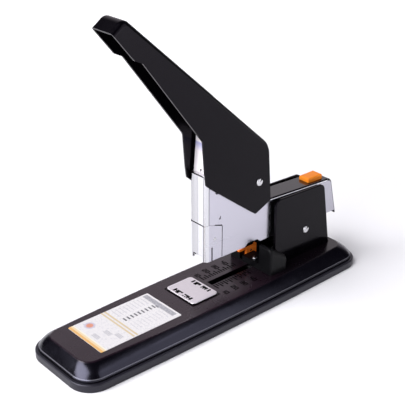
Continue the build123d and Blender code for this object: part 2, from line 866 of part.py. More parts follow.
def nose_side(gap):
    """Side view of the nose plate, grown by a gap."""
    return profile(
        (arm_front - overrun, 0, 0),
        (nose_rear + gap, 0, 0),
        (nose_rear + gap, nose_rear_height + gap, 0 if gap else nose_corner_radius),
        (nose_shoulder_x, nose_shoulder_height + gap, 0),
        (arm_front, nose_front_height + gap, 0),
        (arm_front - overrun, nose_front_height + gap, 0),
    )


arm_side = profile(
    (arm_front - overrun, arm_bottom(arm_front - overrun), 0),
    (hollow_x - hollow_radius, arm_bottom(hollow_x - hollow_radius), 0),
    (hollow_x - hollow_top_half, arm_bottom(hollow_x) + hollow_depth, hollow_corner_radius),
    (hollow_x + hollow_top_half, arm_bottom(hollow_x) + hollow_depth, hollow_corner_radius),
    (hollow_x + hollow_radius, arm_bottom(hollow_x + hollow_radius), 0),
    (wall_rear(arm_bottom_rear), arm_bottom_rear, 0),
    (wall_rear(wall_top(cover_rear)), wall_top(cover_rear), wall_bend_radius),
    (cover_front - tower_foot_gap, wall_top(cover_front - tower_foot_gap), 0),
    (tower_rear, tower_rear_height, tower_rear_radius),
    (notch_rear, tower_height, notch_corner_radius),
    (notch_rear, notch_floor, notch_corner_radius),
    (notch_front, notch_floor, notch_corner_radius),
    (notch_front, tower_height, notch_front_radius),
    (arm_front - overrun, tower_height, 0),
)

with BuildPart() as arm_body:
    with BuildSketch(Plane.XY.offset(arm_bottom_rear)):
        add(arm_wall_sketch(wall_rear(arm_bottom_rear)))
    extrude(amount=tower_height - arm_bottom_rear)
    with BuildSketch(Plane.XZ.offset(-arm_cut_half)):
        add(arm_side)
    extrude(amount=2 * arm_cut_half, mode=Mode.INTERSECT)
    with BuildSketch(Plane.XZ.offset(-arm_cut_half)):
        add(nose_side(seam))
        with Locations((pivot_x, pivot_z)):
            Circle(spacer_radius + side_play * 2)
        with Locations((handle_pivot_x, handle_pivot_z)):
            Circle(handle_pin_radius + fixed_clearance)
        with Locations([(x, frame_rivet_z) for x in frame_rivet_x]):
            Circle(frame_rivet_radius + fixed_clearance)
        with Locations([(x, rail_pin_z) for x in rail_pin_x]):
            Circle(rail_pin_radius + fixed_clearance)
    extrude(amount=2 * arm_cut_half, mode=Mode.SUBTRACT)
save(arm_body.part, "arm_body")

with BuildPart() as nose_plate:
    with BuildSketch(Plane.XY.offset(arm_bottom_front)):
        add(arm_wall_sketch(nose_rear))
    extrude(amount=nose_shoulder_height)
    with BuildSketch(Plane.XZ.offset(-arm_cut_half)):
        add(nose_side(0))
    extrude(amount=2 * arm_cut_half, mode=Mode.INTERSECT)
    with BuildSketch(Plane.XZ.offset(-arm_cut_half)):
        with Locations((nose_slot_x, arm_bottom_front)):
            SlotOverall(2 * nose_slot_height, nose_slot_width, rotation=90)
        with Locations((nose_rivet_x, nose_rivet_z)):
            Circle(nose_rivet_radius + fixed_clearance)
    extrude(amount=2 * arm_cut_half, mode=Mode.SUBTRACT)
    with BuildSketch(Plane.YZ.offset(arm_front - overrun)):
        with Locations((0, arm_bottom_front)):
            RectangleRounded(nose_window_width, 2 * nose_window_height, nose_window_radius)
    extrude(amount=arm_sheet + 2 * overrun, mode=Mode.SUBTRACT)
save(nose_plate.part, "nose_plate")

with BuildPart() as driver_guides:
    with BuildSketch(Plane.XZ.offset(guide_cheek_inner)):
        add(profile(
            (guide_cheek_front, arm_bottom_front + guide_cheek_lift, 0),
            (guide_cheek_rear, arm_bottom_front + guide_cheek_lift, 0),
            (guide_cheek_rear, guide_cheek_top, guide_cheek_radius),
            (guide_cheek_front, guide_cheek_top, 0),
        ))
        with Locations((nose_rivet_x, nose_rivet_z)):
            Circle(nose_rivet_radius + fixed_clearance, mode=Mode.SUBTRACT)
    extrude(amount=arm_inner - guide_cheek_inner)
    mirror(about=Plane.XZ)
save(driver_guides.part, "driver_guides")

with BuildPart() as nose_rivets:
    with BuildSketch(Plane.XZ.offset(guide_cheek_inner)):
        with Locations((nose_rivet_x, nose_rivet_z)):
            Circle(nose_rivet_radius)
    extrude(amount=arm_half_width - guide_cheek_inner + nose_rivet_head)
    fillet(nose_rivets.faces().sort_by(Axis.Y)[0].edges(), nose_rivet_edge_radius)
    mirror(about=Plane.XZ)
save(nose_rivets.part, "nose_rivets")

with BuildPart() as top_cover:
    with BuildSketch(Plane.XZ.offset(-cover_half_width)):
        with BuildLine() as strip_line:
            FilletPolyline(
                (cover_front, cover_front_height - cover_sheet / 2),
                (cover_rear, cover_rear_height - cover_sheet / 2),
                (cover_tail_x, cover_tail_z),
                radius=cover_bend_radius,
            )
        trace(strip_line.wire(), line_width=cover_sheet)
    extrude(amount=2 * cover_half_width)
    strip_middle_x = (cover_front + cover_rear) / 2
    strip_middle_z = (cover_front_height + cover_rear_height) / 2
    for side in (-1, 1):
        rim_middle = (strip_middle_x, side * cover_half_width, strip_middle_z)
        fillet(top_cover.edges().sort_by_distance(rim_middle)[0], cover_edge_radius)
    with BuildSketch(Plane.XY.offset(button_bottom)):
        add(box_sketch(button_front - button_gap, button_front + button_length + button_gap,
                       -button_half_width - button_gap, button_half_width + button_gap))
    extrude(amount=button_top - button_bottom, mode=Mode.SUBTRACT)
save(top_cover.part, "top_cover")

# ======================= pivot frame inside the arm =======================

with BuildPart() as pivot_frame:
    with BuildSketch(Plane.XZ.offset(frame_inner)):
        add(profile(
            (frame_front, arm_bottom(frame_front) + frame_foot_lift, 0),
            (pivot_x - frame_eye_radius, pivot_z, 0),
            (pivot_x - frame_eye_radius, pivot_z - frame_eye_radius, frame_eye_corner_radius),
            (pivot_x + frame_eye_radius, pivot_z - frame_eye_radius, frame_eye_corner_radius),
            (pivot_x + frame_eye_radius, pivot_z, 0),
            (frame_rear, arm_bottom(frame_rear) + frame_foot_lift, 0),
            (frame_rear, frame_web_bottom + frame_web_thickness, frame_corner_radius),
            (frame_front, frame_web_bottom + frame_web_thickness, frame_corner_radius),
        ))
    extrude(amount=arm_inner - frame_inner)
    with BuildSketch(Plane.XZ.offset(frame_inner)):
        with Locations((pivot_x, pivot_z)):
            Circle(pivot_radius + running_clearance)
        with Locations([(x, frame_rivet_z) for x in frame_rivet_x]):
            Circle(frame_rivet_radius + fixed_clearance)
    extrude(amount=arm_inner - frame_inner, mode=Mode.SUBTRACT)
    mirror(about=Plane.XZ)
    with BuildSketch(Plane.XY.offset(frame_web_bottom)):
        add(box_sketch(frame_front + frame_web_setback, frame_rear - frame_web_setback,
                       -frame_inner, frame_inner))
    extrude(amount=frame_web_thickness)
save(pivot_frame.part, "pivot_frame")

with BuildPart() as frame_rivets:
    with BuildSketch(Plane.XZ.offset(frame_inner)):
        with Locations([(x, frame_rivet_z) for x in frame_rivet_x]):
            Circle(frame_rivet_radius)
    extrude(amount=arm_half_width - frame_inner)
    with BuildSketch(Plane.XZ.offset(arm_half_width)):
        with Locations([(x, frame_rivet_z) for x in frame_rivet_x]):
            Circle(frame_rivet_head_radius)
    extrude(amount=frame_rivet_head)
    mirror(about=Plane.XZ)
save(frame_rivets.part, "frame_rivets")

# ======================= magazine =======================

with BuildPart() as staple_rail:
    with BuildSketch(Plane.YZ.offset(staple_front)):
        add(box_sketch(-rail_half_width, rail_half_width, rail_bottom, rail_top))
        add(box_sketch(-rail_half_width + rail_sheet, rail_half_width - rail_sheet, rail_bottom,
                       rail_top - rail_sheet), mode=Mode.SUBTRACT)
    extrude(amount=rail_rear - staple_front)
    with BuildSketch(Plane.XZ.offset(-rail_half_width)):
        with Locations([(x, rail_pin_z) for x in rail_pin_x]):
            Circle(rail_pin_radius + fixed_clearance)
    extrude(amount=2 * rail_half_width, mode=Mode.SUBTRACT)
save(staple_rail.part, "staple_rail")

with BuildPart() as rail_pins:
    with BuildSketch(Plane.XZ.offset(-arm_half_width)):
        with Locations([(x, rail_pin_z) for x in rail_pin_x]):
            Circle(rail_pin_radius)
    extrude(amount=2 * arm_half_width)
save(rail_pins.part, "rail_pins")

with BuildPart() as staple_strip:
    with BuildSketch(Plane.YZ.offset(staple_front)):
        add(box_sketch(-staple_half_width, staple_half_width, staple_top - staple_leg, staple_top))
        add(box_sketch(-staple_half_width + staple_wire, staple_half_width - staple_wire,
                       staple_top - staple_leg, staple_top - staple_wire), mode=Mode.SUBTRACT)
    extrude(amount=staple_strip_length)
    groove_count = int(staple_strip_length / staple_pitch)
    for index in range(1, groove_count):
        x = staple_front + index * staple_pitch
        with BuildSketch(Plane.XY.offset(staple_top - staple_groove)):
            add(box_sketch(x - staple_groove, x + staple_groove, -staple_half_width, staple_half_width))
        extrude(amount=staple_groove, mode=Mode.SUBTRACT)
save(staple_strip.part, "staple_strip")

with BuildPart() as pusher:
    with BuildSketch(Plane.YZ.offset(pusher_front)):
        add(box_sketch(-blade_half_width, blade_half_width, pusher_bottom, pusher_top))
        tunnel_half = rail_half_width + pusher_play
        add(box_sketch(-tunnel_half, tunnel_half, pusher_bottom, rail_top + pusher_play), mode=Mode.SUBTRACT)
        with Locations((0, rod_z)):
            Circle(rod_radius + rod_play, mode=Mode.SUBTRACT)
    extrude(amount=pusher_length)
save(pusher.part, "pusher")

with BuildPart() as rear_stop:
    with BuildSketch(Plane.YZ.offset(rod_rear - stop_thickness)):
        add(box_sketch(-frame_inner + stop_play, frame_inner - stop_play, rail_top, frame_web_bottom))
        with Locations((0, rod_z)):
            Circle(rod_radius + fixed_clearance, mode=Mode.SUBTRACT)
    extrude(amount=stop_thickness)
save(rear_stop.part, "rear_stop")

with BuildPart() as pusher_rod:
    with BuildSketch(Plane.YZ.offset(rod_front)):
        with Locations((0, rod_z)):
            Circle(rod_radius)
    extrude(amount=rod_rear - rod_front)
save(pusher_rod.part, "pusher_rod")

pusher_spring_start = pusher_front + pusher_length + spring_end_gap
pusher_spring_length = rod_rear - stop_thickness - spring_end_gap - pusher_spring_start
with BuildPart() as pusher_spring:
    with Locations(Location((pusher_spring_start, 0, rod_z), (0, 90, 0))):
        add(coil_spring(pusher_spring_radius, pusher_spring_wire, pusher_spring_length, pusher_spring_turns))
save(pusher_spring.part, "pusher_spring")

with BuildPart() as spring_seat:
    with BuildSketch(Plane.XY.offset(seat_bottom)):
        add(box_sketch(staple_front, guide_cheek_rear, -guide_cheek_inner, guide_cheek_inner))
    extrude(amount=seat_top - seat_bottom)
    with BuildSketch(Plane.YZ.offset(rod_front)):
        lug_top = rod_z + rod_radius + seat_lug_wall
        add(box_sketch(-guide_cheek_inner, guide_cheek_inner, seat_bottom, lug_top))
    extrude(amount=guide_cheek_rear - rod_front)
    with BuildSketch(Plane.YZ.offset(rod_front)):
        with Locations((0, rod_z)):
            Circle(rod_radius + fixed_clearance)
    extrude(amount=guide_cheek_rear - rod_front, mode=Mode.SUBTRACT)
save(spring_seat.part, "spring_seat")

# ======================= release button =======================

with BuildPart() as release_button:
    with BuildSketch(Plane.XY.offset(button_bottom)):
        add(box_sketch(button_front, button_front + button_length, -button_half_width, button_half_width))
    extrude(amount=button_top - button_bottom)
    fillet(release_button.faces().sort_by(Axis.Z)[-1].edges(), button_edge_radius)
    with BuildSketch(Plane.XY.offset(button_bottom)):
        add(box_sketch(button_front - button_flange, button_front + button_length + button_flange,
                       -button_half_width - button_flange, button_half_width + button_flange))
    extrude(amount=button_flange_thickness)
save(release_button.part, "release_button")

latch_middle = button_front + button_length / 2
with BuildPart() as latch_plate:
    with BuildSketch(Plane.XY.offset(rail_top)):
        add(box_sketch(latch_front, latch_rear, -arm_inner, arm_inner))
    extrude(amount=latch_top - rail_top)
save(latch_plate.part, "latch_plate")

button_spring_length = button_bottom - latch_top - 2 * spring_end_gap
with BuildPart() as button_spring:
    with Locations((latch_middle, 0, latch_top + spring_end_gap)):
        add(coil_spring(button_spring_radius, button_spring_wire, button_spring_length, button_spring_turns))
save(button_spring.part, "button_spring")

# ======================= plunger =======================

with BuildPart() as plunger:
    with BuildSketch(Plane.XZ.offset(-plunger_half_width)):
        add(profile(
            (blade_rear, plunger_bottom, 0),
            (plunger_rear, plunger_bottom, plunger_foot_radius),
            (plunger_rear, drive_pin_z + slot_play + plunger_slot_wall, plunger_rear_radius),
            (plunger_rear - plunger_top_rear_inset, plunger_top, plunger_rear_radius),
            (plunger_top_front, plunger_top, plunger_nose_radius),
            (blade_rear, plunger_shoulder, 0),
        ))
    extrude(amount=2 * plunger_half_width)
    with BuildSketch(Plane.XZ.offset(-plunger_half_width + plunger_sheet)):
        add(profile(
            (blade_rear + plunger_sheet, plunger_cup_floor, 0),
            (plunger_rear + overrun, plunger_cup_floor, 0),
            (plunger_rear + overrun, plunger_top + overrun, 0),
            (plunger_top_front + plunger_sheet, plunger_top + overrun, 0),
        ))
    extrude(amount=2 * (plunger_half_width - plunger_sheet), mode=Mode.SUBTRACT)
    with BuildSketch(Plane.XZ.offset(-plunger_half_width)):
        add(profile(
            (drive_end_x - slot_play, drive_pin_z - slot_play, drive_slot_radius),
            (drive_pin_x + slot_play, drive_pin_z - slot_play, drive_slot_radius),
            (drive_pin_x + slot_play, drive_pin_z + slot_play, drive_slot_radius),
            (drive_end_x - slot_play, drive_pin_z + slot_play, drive_slot_radius),
        ))
    extrude(amount=2 * plunger_half_width, mode=Mode.SUBTRACT)
    with BuildSketch(Plane.XY.offset(plunger_bottom)):
        with Locations((plunger_spring_x, 0)):
            Circle(plunger_bore_radius)
    extrude(amount=plunger_bore_top - plunger_bottom, mode=Mode.SUBTRACT)
    with BuildSketch(Plane.YZ.offset(blade_rear - overrun)):
        with Locations((0, witness_hole_z)):
            Circle(witness_hole_radius)
    extrude(amount=witness_hole_depth, mode=Mode.SUBTRACT)
save(plunger.part, "plunger")

with BuildPart() as driver_blade:
    with BuildSketch(Plane.YZ.offset(blade_front)):
        add(box_sketch(-blade_half_width, blade_half_width, blade_bottom, blade_top))
        with Locations([(0, z) for z in blade_rivet_z]):
            Circle(blade_rivet_radius + fixed_clearance, mode=Mode.SUBTRACT)
    extrude(amount=blade_thickness)
save(driver_blade.part, "driver_blade")

with BuildPart() as blade_rivets:
    with BuildSketch(Plane.YZ.offset(blade_front)):
        with Locations([(0, z) for z in blade_rivet_z]):
            Circle(blade_rivet_radius)
    extrude(amount=blade_thickness)
save(blade_rivets.part, "blade_rivets")

plunger_spring_length = plunger_bore_top - seat_top - 2 * spring_end_gap
with BuildPart() as plunger_spring:
    with Locations((plunger_spring_x, 0, seat_top + spring_end_gap)):
        add(coil_spring(plunger_spring_radius, plunger_spring_wire,
                        plunger_spring_length, plunger_spring_turns))
save(plunger_spring.part, "plunger_spring")

# ======================= handle =======================

back_slope = (handle_back_z - handle_tip_z) / (handle_back_x - handle_tip_x)
back_length = sqrt((handle_back_x - handle_tip_x) ** 2 + (handle_back_z - handle_tip_z) ** 2)
across_x = (handle_tip_z - handle_back_z) / back_length
across_z = (handle_back_x - handle_tip_x) / back_length


def on_back(x, depth):
    """Point under the handle's straight back at x, moved in by a depth square to it."""
    z = handle_tip_z + back_slope * (x - handle_tip_x)
    return x - across_x * depth, z - across_z * depth


def placed(corners, x_from, z_from):
    """Corners of the handle's side view moved to where they are measured from."""
    return [(x_from + x, z_from + z, radius) for x, z, radius in corners]


handle_side = profile(
    *placed(handle_foot_corners, handle_pivot_x, handle_pivot_z),
    *placed(handle_flap_corners, handle_pivot_x, handle_pivot_z),
    *placed(handle_tip_corners, handle_tip_x, handle_tip_z),
    *placed(handle_rear_corners, handle_pivot_x, handle_pivot_z),
)

with BuildPart() as handle_lever:
    with BuildSketch(Plane.XZ.offset(-handle_outer)):
        add(handle_side)
    extrude(amount=2 * handle_outer)
    back_middle_x = (handle_tip_x + handle_back_x) / 2
    back_middle_z = (handle_tip_z + handle_back_z) / 2
    for side in (-1, 1):
        back_middle = (back_middle_x, side * handle_outer, back_middle_z)
        fillet(handle_lever.edges().sort_by_distance(back_middle)[0], handle_bend_radius)
    cut_rear = handle_back_x + handle_cut_reach
    cut_front = handle_tip_x - handle_cut_reach
    cut_bottom = handle_pivot_z - handle_cut_reach
    with BuildSketch(Plane.XZ.offset(-handle_inner)):
        add(profile(
            (handle_tip_x - tip_return_x, handle_tip_z - tip_return_z, 0),
            (*on_back(handle_tip_x + tip_inner_x, handle_sheet), tip_inner_radius),
            (*on_back(web_end_x, handle_sheet), 0),
            (*on_back(web_end_x, -handle_sheet), 0),
            (cut_rear, handle_back_z + handle_cut_reach, 0),
            (cut_rear, cut_bottom, 0),
            (cut_front, cut_bottom, 0),
            (cut_front, handle_tip_z - tip_return_z, 0),
        ))
    extrude(amount=2 * handle_inner, mode=Mode.SUBTRACT)
    with BuildSketch(Plane.XZ.offset(-handle_outer)):
        with Locations((handle_pivot_x, handle_pivot_z)):
            Circle(handle_pin_radius + running_clearance)
    extrude(amount=2 * handle_outer, mode=Mode.SUBTRACT)
save(handle_lever.part, "handle_lever")

with BuildPart() as handle_pin:
    with Locations((handle_pivot_x, 0, handle_pivot_z)):
        add(headed_pin(handle_pin_radius, handle_outer + handle_pin_play,
                       rivet_head_radius, rivet_head_height))
save(handle_pin.part, "handle_pin")

with BuildPart() as handle_spacer:
    with BuildSketch(Plane.XZ.offset(-arm_inner)):
        with Locations((handle_pivot_x, handle_pivot_z)):
            Circle(handle_spacer_radius)
            Circle(handle_pin_radius + fixed_clearance, mode=Mode.SUBTRACT)
    extrude(amount=2 * arm_inner)
save(handle_spacer.part, "handle_spacer")

with BuildPart() as handle_washers:
    with BuildSketch(Plane.XZ.offset(arm_half_width)):
        with Locations((handle_pivot_x, handle_pivot_z)):
            Circle(handle_washer_radius)
            Circle(handle_pin_radius + fixed_clearance, mode=Mode.SUBTRACT)
    extrude(amount=handle_inner - arm_half_width - handle_washer_play)
    mirror(about=Plane.XZ)
save(handle_washers.part, "handle_washers")

with BuildPart() as drive_pin:
    with BuildSketch(Plane.XZ.offset(-handle_inner)):
        with Locations((drive_pin_x, drive_pin_z)):
            Circle(drive_pin_radius)
    extrude(amount=2 * handle_inner)
save(drive_pin.part, "drive_pin")
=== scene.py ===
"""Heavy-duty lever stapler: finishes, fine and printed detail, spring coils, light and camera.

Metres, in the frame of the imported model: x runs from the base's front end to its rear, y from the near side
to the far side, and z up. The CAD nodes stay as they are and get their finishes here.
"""
import json
import math

import bmesh
import bpy
from mathutils import Matrix, Vector


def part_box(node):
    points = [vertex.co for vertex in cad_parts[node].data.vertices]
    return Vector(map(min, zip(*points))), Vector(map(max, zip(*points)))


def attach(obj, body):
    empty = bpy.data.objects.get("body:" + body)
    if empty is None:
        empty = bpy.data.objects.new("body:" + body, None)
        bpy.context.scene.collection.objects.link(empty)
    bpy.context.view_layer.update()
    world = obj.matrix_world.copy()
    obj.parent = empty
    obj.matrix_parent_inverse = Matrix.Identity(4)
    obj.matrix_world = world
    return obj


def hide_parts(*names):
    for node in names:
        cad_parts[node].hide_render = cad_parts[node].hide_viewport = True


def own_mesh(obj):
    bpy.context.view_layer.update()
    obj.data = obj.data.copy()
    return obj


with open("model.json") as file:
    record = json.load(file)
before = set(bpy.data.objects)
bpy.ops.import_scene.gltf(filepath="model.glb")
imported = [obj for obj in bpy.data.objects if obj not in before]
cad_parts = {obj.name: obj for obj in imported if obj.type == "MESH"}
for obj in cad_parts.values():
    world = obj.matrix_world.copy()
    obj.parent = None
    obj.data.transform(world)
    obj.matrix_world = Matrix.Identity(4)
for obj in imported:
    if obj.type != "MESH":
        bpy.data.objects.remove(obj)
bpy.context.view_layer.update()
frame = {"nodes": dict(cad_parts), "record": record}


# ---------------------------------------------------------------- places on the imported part

X, Y, Z = 0, 1, 2

label_low, label_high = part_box("label_sheet")
plateau = label_low[Z]  # the base's raised flat top, on which the label lies
ridge_rise, ridge_width = 0.0021, 0.0007  # the ridge low on the base's slopes, above the tray, and the width of the highlight painted along it
ridge_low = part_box("base_tray")[1][Z] + ridge_rise
ridge_high = ridge_low + ridge_width
bracket_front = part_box("bracket")[0][X]
anvil_low, anvil_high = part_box("anvil_plate")
nose_low, nose_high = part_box("nose_plate")
nose_front, nose_rear = nose_low[X], nose_high[X]
nose_half_width = -nose_low[Y]
arm_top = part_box("arm_body")[1][Z]
plunger_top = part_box("plunger")[1][Z]
strip_low, strip_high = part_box("top_cover")
strip_slope = -0.0504  # the cover strip's rise over its run towards the rear, as in its CAD solid


# ---------------------------------------------------------------- node helpers

noise_swing = (0.3, 0.7)  # most of a noise's values lie between these
noise_roughness = 0.55


class Nodes:
    """A node tree, with short calls for the nodes used here."""

    def __init__(self, tree, coordinates):
        self.tree = tree
        self.place = self.node("TexCoord").outputs[coordinates]

    def node(self, kind, **settings):
        """A new node with these settings."""
        node = self.tree.nodes.new(f"ShaderNode{kind}")
        for name, value in settings.items():
            setattr(node, name, value)
        return node

    def plug(self, value, socket):
        """Put a number, a colour or a node's output into a socket."""
        if isinstance(value, (int, float)):
            socket.default_value = value
        elif isinstance(value, tuple):
            socket.default_value = (*value, 1.0)
        else:
            self.tree.links.new(value, socket)

    def math(self, operation, first, second, third=0.0):
        """An operation on numbers."""
        node = self.node("Math", operation=operation)
        for socket, value in zip(node.inputs, (first, second, third)):
            self.plug(value, socket)
        return node.outputs[0]

    def product(self, first, second):
        """Two numbers multiplied."""
        return self.math("MULTIPLY", first, second)

    def span(self, value, from_range, to_range, interpolation="LINEAR"):
        """A value taken from one range to another, and held at that range's ends."""
        node = self.node("MapRange", interpolation_type=interpolation)
        self.plug(value, node.inputs["Value"])
        names = ("From Min", "From Max", "To Min", "To Max")
        for name, number in zip(names, (*from_range, *to_range)):
            node.inputs[name].default_value = number
        return node.outputs[0]

    def rise(self, value, low, high, interpolation="LINEAR"):
        """0 up to low, 1 from high on."""
        return self.span(value, (low, high), (0.0, 1.0), interpolation)

    def fall(self, value, low, high, interpolation="LINEAR"):
        """1 up to low, 0 from high on."""
        return self.span(value, (low, high), (1.0, 0.0), interpolation)

    def mix(self, factor, first, second):
        """The first colour at factor 0, the second at 1."""
        node = self.node("Mix", data_type="RGBA")
        for name, value in (("Factor", factor), ("A", first), ("B", second)):
            self.plug(value, node.inputs[name])
        return node.outputs["Result"]

    def along(self, axis):
        """The place along one axis."""
        axes = self.node("SeparateXYZ")
        self.plug(self.place, axes.inputs[0])
        return axes.outputs[axis]

    def distance(self, point):
        """How far the place is from a point."""
        node = self.node("VectorMath", operation="DISTANCE")
        self.plug(self.place, node.inputs[0])
        node.inputs[1].default_value = point
        return node.outputs["Value"]

    def rectangle(self, x_low, x_high, y_low, y_high):
        """1 inside a rectangle of the plan, 0 outside."""
        in_x = self.math("COMPARE", self.along(X), (x_low + x_high) / 2, (x_high - x_low) / 2)
        in_y = self.math("COMPARE", self.along(Y), (y_low + y_high) / 2, (y_high - y_low) / 2)
        return self.product(in_x, in_y)

    def noise(self, scale, detail, stretch=None):
        """A noise about 0.5, drawn out along the axes where stretch is low."""
        place = self.place
        if stretch:
            mapping = self.node("Mapping")
            self.plug(place, mapping.inputs["Vector"])
            mapping.inputs["Scale"].default_value = stretch
            place = mapping.outputs[0]
        node = self.node("TexNoise")
        for name, value in (("Vector", place), ("Scale", scale), ("Detail", detail),
                            ("Roughness", noise_roughness)):
            self.plug(value, node.inputs[name])
        return node.outputs["Fac"]

    def swing(self, noise, to_range):
        """A noise's usual swing taken to a range."""
        return self.span(noise, noise_swing, to_range)


class Finish(Nodes):
    """A material's nodes, placed in the part's own frame.

    The plain colour, roughness and metallic are what a viewer that can't read the nodes shows.
    """

    def __init__(self, name, colour, roughness, metallic=0.0):
        self.material = bpy.data.materials.new(name)
        self.material.use_nodes = True
        self.material.diffuse_color = (*colour, 1.0)
        super().__init__(self.material.node_tree, "Object")
        self.surface = self.tree.nodes["Principled BSDF"]
        self.set(Base_Color=colour, Roughness=roughness, Metallic=metallic)

    def set(self, **values):
        """Values or nodes' outputs for the surface's sockets, with _ for each space in a socket's name."""
        for name, value in values.items():
            self.plug(value, self.surface.inputs[name.replace("_", " ")])
        return self

    def source(self, name):
        """The output that feeds one of the surface's sockets."""
        return self.surface.inputs[name].links[0].from_socket

    def bump(self, height, strength, distance):
        """Relief from a noise."""
        node = self.node("Bump")
        for name, value in (("Strength", strength), ("Distance", distance), ("Height", height)):
            self.plug(value, node.inputs[name])
        return self.set(Normal=node.outputs["Normal"])

    def grain(self, noise, roughness, relief, depth=0.0001):
        """A grain that shows in the gloss, between two roughnesses, and as relief."""
        return self.set(Roughness=self.swing(noise, roughness)).bump(noise, relief, depth)


# ---------------------------------------------------------------- finishes

def black_enamel(name, specular, roughness):
    """Sprayed black enamel: faint orange peel, slight cloudiness and fine dust specks."""
    finish = Finish(name, (0.0012, 0.001, 0.0016), roughness=roughness)
    cloud = finish.noise(scale=45.0, detail=4.0)
    paint = finish.mix(cloud, (0.0008, 0.0006, 0.0012), (0.0016, 0.0013, 0.0022))
    specks = finish.span(finish.noise(scale=2600.0, detail=2.0), (0.70, 0.78), (0.0, 0.25))
    finish.set(Base_Color=finish.mix(specks, paint, (0.012, 0.012, 0.012)), Specular_IOR_Level=specular,
               Roughness=finish.swing(cloud, (roughness * 0.75, roughness * 1.3)))
    return finish.bump(finish.noise(scale=420.0, detail=2.0), strength=0.04, distance=0.0002)


def base_enamel():
    """The base's enamel: satin on the flat top, glossy on the slopes, with a painted highlight along the
    lower ridge.

    The top's paint goes darker towards the bracket as painted shade.
    """
    finish = black_enamel("base_enamel", specular=0.5, roughness=0.2)
    height = finish.along(Z)
    top_edge, top_edge_end, extra_roughness = 0.0008, 0.0001, 0.06
    on_top = finish.rise(height, plateau - top_edge, plateau - top_edge_end)
    finish.set(Roughness=finish.math("MULTIPLY_ADD", on_top, extra_roughness, finish.source("Roughness")),
               Specular_Tint=finish.mix(on_top, (0.76, 0.76, 1.0), (1.0, 0.97, 0.98)))
    # painted shade: the top's paint goes darker over the last 30 mm before the bracket
    shade_length = 0.03
    ahead = finish.span(finish.along(X), (bracket_front - shade_length, bracket_front), (0.85, 0.15))
    paint = finish.mix(finish.product(on_top, ahead), finish.source("Base Color"), (0.014, 0.0065, 0.0115))
    # painted highlight: a pale band along the ridge low on the slopes
    ridge_edge = 0.0002
    painted_ridge_highlight = finish.product(finish.rise(height, ridge_low, ridge_low + ridge_edge),
                           finish.fall(height, ridge_high - ridge_edge, ridge_high))
    return finish.set(Base_Color=finish.mix(painted_ridge_highlight, paint, (0.09, 0.09, 0.10)))


def strip_enamel():
    """The cover strip's enamel, with a painted highlight: a pale band along its lower edge.

    A bright metal edge would mirror the bracket's dark inner face, so this one gives off a little light.
    """
    finish = black_enamel("strip_enamel", specular=0.6, roughness=0.15)
    edge_drop, tail_length, glow = 0.0010, 0.0130, 0.4
    edge_start = strip_high[Z] - edge_drop - strip_slope * strip_low[X]
    edge = finish.math("MULTIPLY_ADD", finish.along(X), strip_slope, edge_start)
    # painted highlight: the pale band below the edge line, short of the strip's tail, which also glows a
    # little
    painted_edge_highlight = finish.product(finish.math("LESS_THAN", finish.along(Z), edge),
                          finish.math("LESS_THAN", finish.along(X), strip_high[X] - tail_length))
    return finish.set(Base_Color=finish.mix(painted_edge_highlight, finish.source("Base Color"), (0.80, 0.79, 0.82)),
                      Emission_Strength=finish.product(painted_edge_highlight, glow), Emission_Color=(0.80, 0.79, 0.84))


def tray_grey():
    """Moulded dark grey plastic with a fine grain."""
    finish = Finish("tray_grey", (0.014, 0.0135, 0.018), roughness=0.36)
    mottle = finish.noise(scale=60.0, detail=3.0)
    finish.set(Base_Color=finish.mix(mottle, (0.009, 0.0085, 0.012), (0.013, 0.0125, 0.017)),
               Specular_IOR_Level=0.42, Specular_Tint=(0.88, 0.87, 1.0))
    return finish.grain(finish.noise(scale=1500.0, detail=3.0), roughness=(0.3, 0.44), relief=0.15)


def chrome_plate():
    """Bright plated steel sheet with soft rolling lines and faint smudges.

    The upright bands and thin dark lines round the arm's front, and its darker tail, are what the sheet
    reflects in the photograph, painted by their place on the part.
    """
    finish = Finish("chrome_plate", (0.62, 0.61, 0.68), roughness=0.2, metallic=1.0)
    lines = finish.noise(scale=260.0, detail=3.0, stretch=(0.06, 1.0, 1.0))
    smudge = finish.noise(scale=38.0, detail=4.0)
    tail_start, tail_end = 0.06, 0.137
    tail = finish.span(finish.along(X), (tail_start, tail_end), (1.0, 0.85))
    plain = finish.mix(smudge, (0.54, 0.53, 0.60), (0.58, 0.57, 0.64))
    sheet = finish.mix(tail, (0.0, 0.0, 0.0), plain)

    upright = finish.noise(scale=420.0, detail=2.0, stretch=(0.0, 1.0, 0.01))
    face = finish.mix(finish.rise(upright, 0.35, 0.65), (0.56, 0.56, 0.58), (0.65, 0.65, 0.67))
    bend, half = 0.0030, nose_half_width
    # bands round the front: low and high side across the arm, colour
    for y_low, y_high, colour in ((-half - bend, half + bend, face),
                                  (-half - bend, -half + bend, (0.68, 0.68, 0.71)),
                                  (-half + bend, -half + 3 * bend, (0.84, 0.84, 0.86))):
        band = finish.rectangle(nose_front - bend, nose_front + bend, y_low, y_high)
        sheet = finish.mix(band, sheet, colour)

    sharp_step, darkness = 0.0001, 0.7
    above = finish.rise(finish.along(Z), nose_high[Z], nose_high[Z] + sharp_step)
    below = finish.math("SUBTRACT", 1.0, above)
    # dark lines: above or below the nose plate's top, the line's x and y, half its width
    for share, x, y, width in ((above, nose_front + bend, -half, 0.0004),
                               (below, nose_front, -half + bend, 0.0005),
                               (above, nose_front, -half + bend, 0.0003),
                               (above, nose_front, half - 0.0016, 0.0008)):
        line = finish.rectangle(x - width, x + width, y - width, y + width)
        sheet = finish.mix(finish.product(line, finish.product(share, darkness)), sheet, (0.10, 0.10, 0.11))

    rolled = finish.swing(lines, (0.17, 0.26))
    smeared = finish.span(smudge, (0.4, 0.8), (0.0, 0.05))
    finish.set(Base_Color=sheet, Roughness=finish.math("ADD", rolled, smeared))
    return finish.bump(lines, strength=0.03, distance=0.0001)


